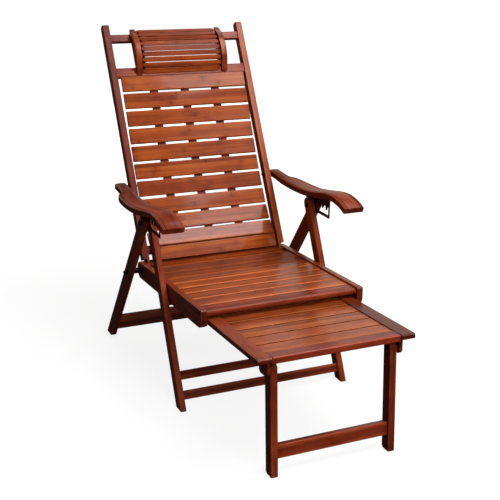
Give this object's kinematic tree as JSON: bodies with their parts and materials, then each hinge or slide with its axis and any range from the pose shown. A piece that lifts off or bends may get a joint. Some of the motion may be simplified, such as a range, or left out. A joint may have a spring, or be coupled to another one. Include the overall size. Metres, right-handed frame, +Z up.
{
  "type": "folding deck chair",
  "caption": "Folding slatted wooden deck chair with a reclining back, curved armrests on steel racks, a headrest and a slide-out footrest on folding legs.",
  "frame": {"origin": "on the floor under the middle of the chair with its footrest pulled out", "axes": "+Z up, the sitter faces -Y, +X is the sitter's left hand"},
  "size_m": [0.676, 1.3064, 1.0735],
  "materials": {
    "frame_wood": "gloss varnish",
    "slat_wood": "gloss varnish",
    "dark_steel": "satin"
  },
  "bodies": {
    "seat_frame": {"seat_rail_left": "frame_wood", "seat_rail_right": "frame_wood", "seat_slat_01": "slat_wood", "seat_slat_02": "slat_wood", "seat_slat_03": "slat_wood", "seat_slat_04": "slat_wood", "seat_slat_05": "slat_wood", "seat_slat_06": "slat_wood", "seat_slat_07": "slat_wood", "seat_slat_08": "slat_wood", "seat_slat_09": "slat_wood", "footrest_guide_left": "frame_wood", "footrest_guide_right": "frame_wood", "rear_leg_left": "frame_wood", "rear_leg_right": "frame_wood", "rear_stretcher": "frame_wood", "back_pivot_bolt_left": "dark_steel", "back_pivot_bolt_right": "dark_steel", "leg_pivot_bolt_left": "dark_steel", "leg_pivot_bolt_right": "dark_steel"},
    "front_legs": {"front_leg_left": "frame_wood", "front_leg_right": "frame_wood", "front_stretcher_upper": "frame_wood", "front_stretcher_lower": "frame_wood"},
    "back": {"back_stile_left": "frame_wood", "back_stile_right": "frame_wood", "headrest_rail_upper": "frame_wood", "headrest_rail_lower": "frame_wood", "back_bottom_rail": "frame_wood", "back_batten_1": "frame_wood", "back_batten_2": "frame_wood", "back_batten_3": "frame_wood", "back_slat_01": "slat_wood", "back_slat_02": "slat_wood", "back_slat_03": "slat_wood", "back_slat_04": "slat_wood", "back_slat_05": "slat_wood", "back_slat_06": "slat_wood", "back_slat_07": "slat_wood", "back_slat_08": "slat_wood", "back_slat_09": "slat_wood", "back_slat_10": "slat_wood", "back_slat_11": "slat_wood", "headrest_pad": "slat_wood", "headrest_end_left": "frame_wood", "headrest_end_right": "frame_wood", "armrest_bolt_left": "dark_steel", "armrest_bolt_right": "dark_steel"},
    "armrest_l": {"armrest_left": "slat_wood", "arm_rack_left": "dark_steel"},
    "armrest_r": {"armrest_right": "slat_wood", "arm_rack_right": "dark_steel"},
    "footrest": {"footrest_rail_left": "frame_wood", "footrest_rail_right": "frame_wood", "footrest_slats": "slat_wood", "footleg_bolt_left": "dark_steel", "footleg_bolt_right": "dark_steel"},
    "footrest_legs": {"footrest_leg_left": "frame_wood", "footrest_leg_right": "frame_wood", "footrest_stretcher": "frame_wood"}
  },
  "joints": [
    {"name": "back_recline", "type": "hinge", "parent": "seat_frame", "child": "back", "pos_m": [0, 0.2317, 0.31223], "axis": [-1, 0, 0], "range_deg": [-6, 25]},
    {"name": "armrest_left_pivot", "type": "hinge", "parent": "back", "child": "armrest_l", "pos_m": [0, 0.36107, 0.568], "axis": [-1, 0, 0], "range_deg": [-14, 4]},
    {"name": "armrest_right_pivot", "type": "hinge", "parent": "back", "child": "armrest_r", "pos_m": [0, 0.36107, 0.568], "axis": [-1, 0, 0], "range_deg": [-14, 4]},
    {"name": "footrest_slide", "type": "slide", "parent": "seat_frame", "child": "footrest", "axis": [0, 0.9982, -0.0593], "range_m": [0, 0.31]},
    {"name": "footrest_leg_fold", "type": "hinge", "parent": "footrest", "child": "footrest_legs", "pos_m": [0, -0.60793, 0.311], "axis": [1, 0, 0], "range_deg": [0, 90]},
    {"name": "front_leg_fold", "type": "hinge", "parent": "seat_frame", "child": "front_legs", "pos_m": [0, 0.07989, 0.52663], "axis": [1, 0, 0], "range_deg": [0, 45]}
  ],
  "couplings": [
    {"joint": "armrest_left_pivot", "follows": "back_recline", "ratio": -0.53},
    {"joint": "armrest_right_pivot", "follows": "back_recline", "ratio": -0.53}
  ]
}
